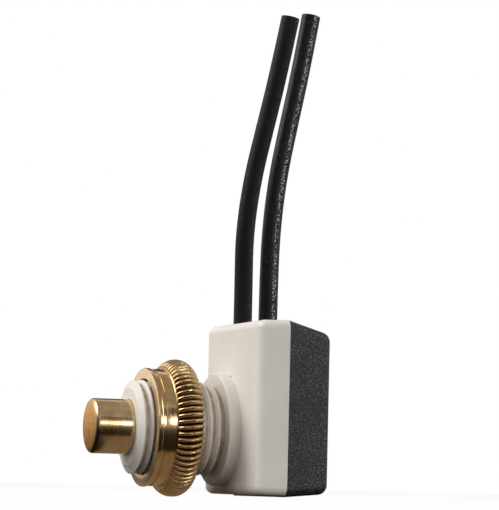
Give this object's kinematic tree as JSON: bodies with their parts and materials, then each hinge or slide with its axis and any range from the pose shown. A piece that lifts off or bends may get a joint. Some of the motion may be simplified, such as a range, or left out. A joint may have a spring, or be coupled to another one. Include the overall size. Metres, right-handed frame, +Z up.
{
  "type": "pushbutton switch",
  "caption": "Small push-push canopy switch with a threaded bushing, knurled ring nut, brass button and two short wire leads.",
  "frame": {"origin": "on the bushing axis, in the plane where the seat ring meets the panel", "axes": "-Y along the bushing towards the button, +Z up towards the leads, +X to the right seen from the front"},
  "size_m": [0.0192, 0.0247, 0.0549],
  "materials": {
    "ivory_plastic": "moulded, satin",
    "black_plastic": "fine spark-eroded grain",
    "brass": "turned, lightly lacquered",
    "natural_nylon": "moulded",
    "spring_steel": "drawn wire",
    "contact_bronze": "stamped strip",
    "silver": "riveted",
    "black_insulation": "extruded, slightly glossy",
    "copper": "bare strands"
  },
  "bodies": {
    "housing": {"front_housing": "ivory_plastic", "rear_cover": "black_plastic", "return_spring": "spring_steel", "thrust_washer": "spring_steel", "contact_spring": "spring_steel", "terminal_left": "contact_bronze", "terminal_right": "contact_bronze", "contact_point_left": "silver", "contact_point_right": "silver", "lead_jacket_left": "black_insulation", "lead_jacket_right": "black_insulation", "lead_core_left": "copper", "lead_core_right": "copper"},
    "nut": {"knurled_nut": "brass"},
    "button": {"button_cap": "brass", "plunger_stem": "natural_nylon"},
    "rotor": {"ratchet_rotor": "natural_nylon", "contact_plate": "contact_bronze"}
  },
  "joints": [
    {"name": "button_press", "type": "slide", "parent": "housing", "child": "button", "axis": [0, 1, 0], "range_m": [0, 0.0028], "stiffness_N_per_m": 250, "springref_m": -0.003, "deforming": ["return_spring"]},
    {"name": "rotor_turn", "type": "hinge", "parent": "housing", "child": "rotor", "pos_m": [0, 0, 0], "axis": [0, 1, 0], "range_deg": [0, 45]},
    {"name": "nut_turn", "type": "hinge", "parent": "housing", "child": "nut", "pos_m": [0, 0, 0], "axis": [0, 1, 0], "continuous": true}
  ],
  "couplings": [
    {"joint": "rotor_turn", "follows": "button_press", "rad_per_m": 280}
  ]
}
